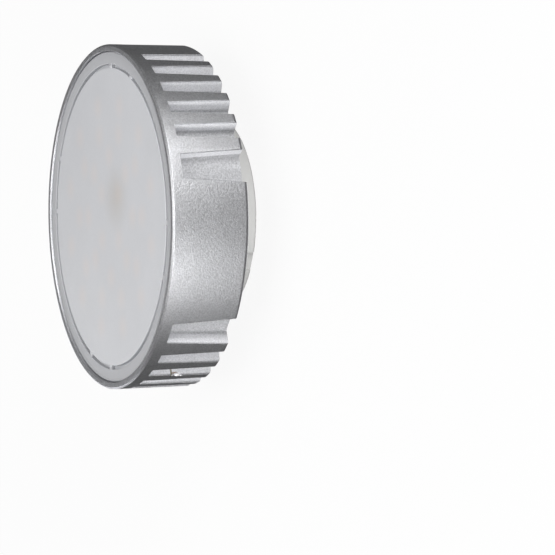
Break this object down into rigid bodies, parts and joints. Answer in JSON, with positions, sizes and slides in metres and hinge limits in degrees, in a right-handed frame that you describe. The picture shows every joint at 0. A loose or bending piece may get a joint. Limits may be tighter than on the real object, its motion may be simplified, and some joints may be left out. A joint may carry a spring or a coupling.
{
  "type": "led disc lamp",
  "caption": "Flat round LED lamp with a finned die-cast heat sink, a frosted front plate and a twist-lock base with a hollow boss and two contact pins.",
  "frame": {"origin": "centre of the flat end of the base boss, which the lamp stands on", "axes": "+Z along the lamp's axis towards the light, Y through the two contact pins, X through the two smooth side panels"},
  "size_m": [0.075, 0.075, 0.026],
  "materials": {
    "sprayed_aluminium": "fine-grained silver spray over a die casting",
    "frosted_plastic": "frosted, translucent",
    "white_plastic": "fine moulded satin",
    "brass": "turned, bright",
    "tinned_tag": "tinned, satin",
    "white_board": "white solder mask on aluminium",
    "thermal_pad": "soft silicone",
    "led_package": "white package with a yellow phosphor window",
    "zinc_screw": "zinc plated",
    "grommet_rubber": "matt",
    "red_insulation": "smooth",
    "black_insulation": "smooth",
    "white_insulation": "smooth",
    "amber_film": "thin film",
    "fibre_board": "green solder mask",
    "ferrite": "sintered, matt",
    "black_moulding": "moulded, matt",
    "yellow_tape": "polyester tape",
    "capacitor_sleeve": "shrink sleeve",
    "film_capacitor_case": "dipped resin",
    "resistor_body": "painted"
  },
  "bodies": {
    "root": {"heat_sink": "sprayed_aluminium", "diffuser": "frosted_plastic", "thermal_pad": "thermal_pad", "led_board": "white_board", "led_ring_1": "led_package", "led_ring_2": "led_package", "led_ring_3": "led_package", "led_ring_4": "led_package", "board_screws": "zinc_screw", "base_screws": "zinc_screw", "wire_grommet": "grommet_rubber", "led_wire_positive": "red_insulation", "led_wire_negative": "black_insulation", "base_housing": "white_plastic", "contact_pin_a": "brass", "contact_pin_b": "brass", "pin_tag_a": "tinned_tag", "pin_tag_b": "tinned_tag", "mains_wire_a": "white_insulation", "mains_wire_b": "white_insulation", "insulating_sheet": "amber_film", "driver_board": "fibre_board", "transformer_core": "ferrite", "transformer_bobbin": "black_moulding", "transformer_winding": "yellow_tape", "input_capacitor": "capacitor_sleeve", "output_capacitor": "capacitor_sleeve", "film_capacitor": "film_capacitor_case", "bridge_rectifier": "black_moulding", "driver_chip": "black_moulding", "output_diode": "black_moulding", "fuse_resistor": "resistor_body"}
  },
  "joints": []
}
